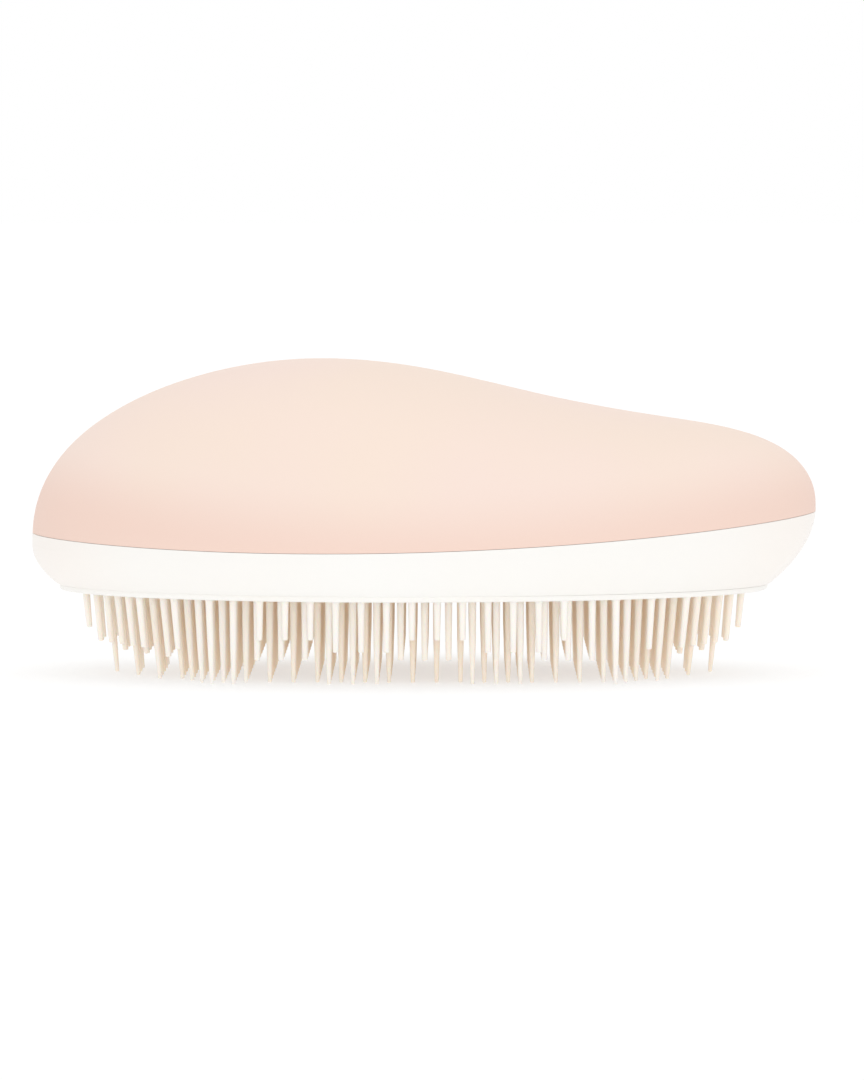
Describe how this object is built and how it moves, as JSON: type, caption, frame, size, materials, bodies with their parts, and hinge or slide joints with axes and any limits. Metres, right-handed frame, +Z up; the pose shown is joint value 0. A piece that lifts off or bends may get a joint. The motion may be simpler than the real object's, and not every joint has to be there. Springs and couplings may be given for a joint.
{
  "type": "detangling brush",
  "caption": "Palm-held detangling brush: a domed soft-touch cover on an ivory band, over a plate of long and short flexible teeth that bend sideways and spring back.",
  "frame": {"origin": "centre of the rectangle that the brush covers, on the plane of the long tooth tips it stands on", "axes": "+X from the round nose to the low tail, +Y across the brush, +Z up from the tooth tips to the crown"},
  "size_m": [0.117, 0.072, 0.047],
  "materials": {
    "cover_soft_touch": "soft-touch matte peach",
    "band_plastic": "satin ivory",
    "plate_plastic": "satin ivory",
    "tooth_plastic": "smooth flexible ivory"
  },
  "bodies": {
    "brush_body": {"top_cover": "cover_soft_touch", "base_band": "band_plastic", "tooth_plate": "plate_plastic"},
    "tooth_row_01": {"tooth_row_01": "tooth_plastic"},
    "tooth_row_02": {"tooth_row_02": "tooth_plastic"},
    "tooth_row_03": {"tooth_row_03": "tooth_plastic"},
    "tooth_row_04": {"tooth_row_04": "tooth_plastic"},
    "tooth_row_05": {"tooth_row_05": "tooth_plastic"},
    "tooth_row_06": {"tooth_row_06": "tooth_plastic"},
    "tooth_row_07": {"tooth_row_07": "tooth_plastic"},
    "tooth_row_08": {"tooth_row_08": "tooth_plastic"},
    "tooth_row_09": {"tooth_row_09": "tooth_plastic"},
    "tooth_row_10": {"tooth_row_10": "tooth_plastic"},
    "tooth_row_11": {"tooth_row_11": "tooth_plastic"},
    "tooth_row_12": {"tooth_row_12": "tooth_plastic"},
    "tooth_row_13": {"tooth_row_13": "tooth_plastic"},
    "tooth_row_14": {"tooth_row_14": "tooth_plastic"},
    "tooth_row_15": {"tooth_row_15": "tooth_plastic"},
    "tooth_row_16": {"tooth_row_16": "tooth_plastic"},
    "tooth_row_17": {"tooth_row_17": "tooth_plastic"}
  },
  "joints": [
    {"name": "row_01_flex", "type": "hinge", "parent": "brush_body", "child": "tooth_row_01", "pos_m": [0, -0.0266, 0.01195], "axis": [1, 0, 0], "range_deg": [-7, 7], "stiffness_Nm_per_rad": 0.0845},
    {"name": "row_02_flex", "type": "hinge", "parent": "brush_body", "child": "tooth_row_02", "pos_m": [0, -0.02328, 0.01195], "axis": [1, 0, 0], "range_deg": [-12, 12], "stiffness_Nm_per_rad": 0.0756},
    {"name": "row_03_flex", "type": "hinge", "parent": "brush_body", "child": "tooth_row_03", "pos_m": [0, -0.01995, 0.01195], "axis": [1, 0, 0], "range_deg": [-12, 12], "stiffness_Nm_per_rad": 0.0735},
    {"name": "row_04_flex", "type": "hinge", "parent": "brush_body", "child": "tooth_row_04", "pos_m": [0, -0.01663, 0.01195], "axis": [1, 0, 0], "range_deg": [-12, 12], "stiffness_Nm_per_rad": 0.1008},
    {"name": "row_05_flex", "type": "hinge", "parent": "brush_body", "child": "tooth_row_05", "pos_m": [0, -0.0133, 0.01195], "axis": [1, 0, 0], "range_deg": [-12, 12], "stiffness_Nm_per_rad": 0.0875},
    {"name": "row_06_flex", "type": "hinge", "parent": "brush_body", "child": "tooth_row_06", "pos_m": [0, -0.00997, 0.01195], "axis": [1, 0, 0], "range_deg": [-12, 12], "stiffness_Nm_per_rad": 0.1092},
    {"name": "row_07_flex", "type": "hinge", "parent": "brush_body", "child": "tooth_row_07", "pos_m": [0, -0.00665, 0.01195], "axis": [1, 0, 0], "range_deg": [-12, 12], "stiffness_Nm_per_rad": 0.0945},
    {"name": "row_08_flex", "type": "hinge", "parent": "brush_body", "child": "tooth_row_08", "pos_m": [0, -0.00332, 0.01195], "axis": [1, 0, 0], "range_deg": [-12, 12], "stiffness_Nm_per_rad": 0.1176},
    {"name": "row_09_flex", "type": "hinge", "parent": "brush_body", "child": "tooth_row_09", "pos_m": [0, 0, 0.01195], "axis": [1, 0, 0], "range_deg": [-12, 12], "stiffness_Nm_per_rad": 0.1015},
    {"name": "row_10_flex", "type": "hinge", "parent": "brush_body", "child": "tooth_row_10", "pos_m": [0, 0.00332, 0.01195], "axis": [1, 0, 0], "range_deg": [-12, 12], "stiffness_Nm_per_rad": 0.1176},
    {"name": "row_11_flex", "type": "hinge", "parent": "brush_body", "child": "tooth_row_11", "pos_m": [0, 0.00665, 0.01195], "axis": [1, 0, 0], "range_deg": [-12, 12], "stiffness_Nm_per_rad": 0.0945},
    {"name": "row_12_flex", "type": "hinge", "parent": "brush_body", "child": "tooth_row_12", "pos_m": [0, 0.00997, 0.01195], "axis": [1, 0, 0], "range_deg": [-12, 12], "stiffness_Nm_per_rad": 0.1092},
    {"name": "row_13_flex", "type": "hinge", "parent": "brush_body", "child": "tooth_row_13", "pos_m": [0, 0.0133, 0.01195], "axis": [1, 0, 0], "range_deg": [-12, 12], "stiffness_Nm_per_rad": 0.0875},
    {"name": "row_14_flex", "type": "hinge", "parent": "brush_body", "child": "tooth_row_14", "pos_m": [0, 0.01663, 0.01195], "axis": [1, 0, 0], "range_deg": [-12, 12], "stiffness_Nm_per_rad": 0.1008},
    {"name": "row_15_flex", "type": "hinge", "parent": "brush_body", "child": "tooth_row_15", "pos_m": [0, 0.01995, 0.01195], "axis": [1, 0, 0], "range_deg": [-12, 12], "stiffness_Nm_per_rad": 0.0735},
    {"name": "row_16_flex", "type": "hinge", "parent": "brush_body", "child": "tooth_row_16", "pos_m": [0, 0.02328, 0.01195], "axis": [1, 0, 0], "range_deg": [-12, 12], "stiffness_Nm_per_rad": 0.0756},
    {"name": "row_17_flex", "type": "hinge", "parent": "brush_body", "child": "tooth_row_17", "pos_m": [0, 0.0266, 0.01195], "axis": [1, 0, 0], "range_deg": [-7, 7], "stiffness_Nm_per_rad": 0.0845}
  ]
}
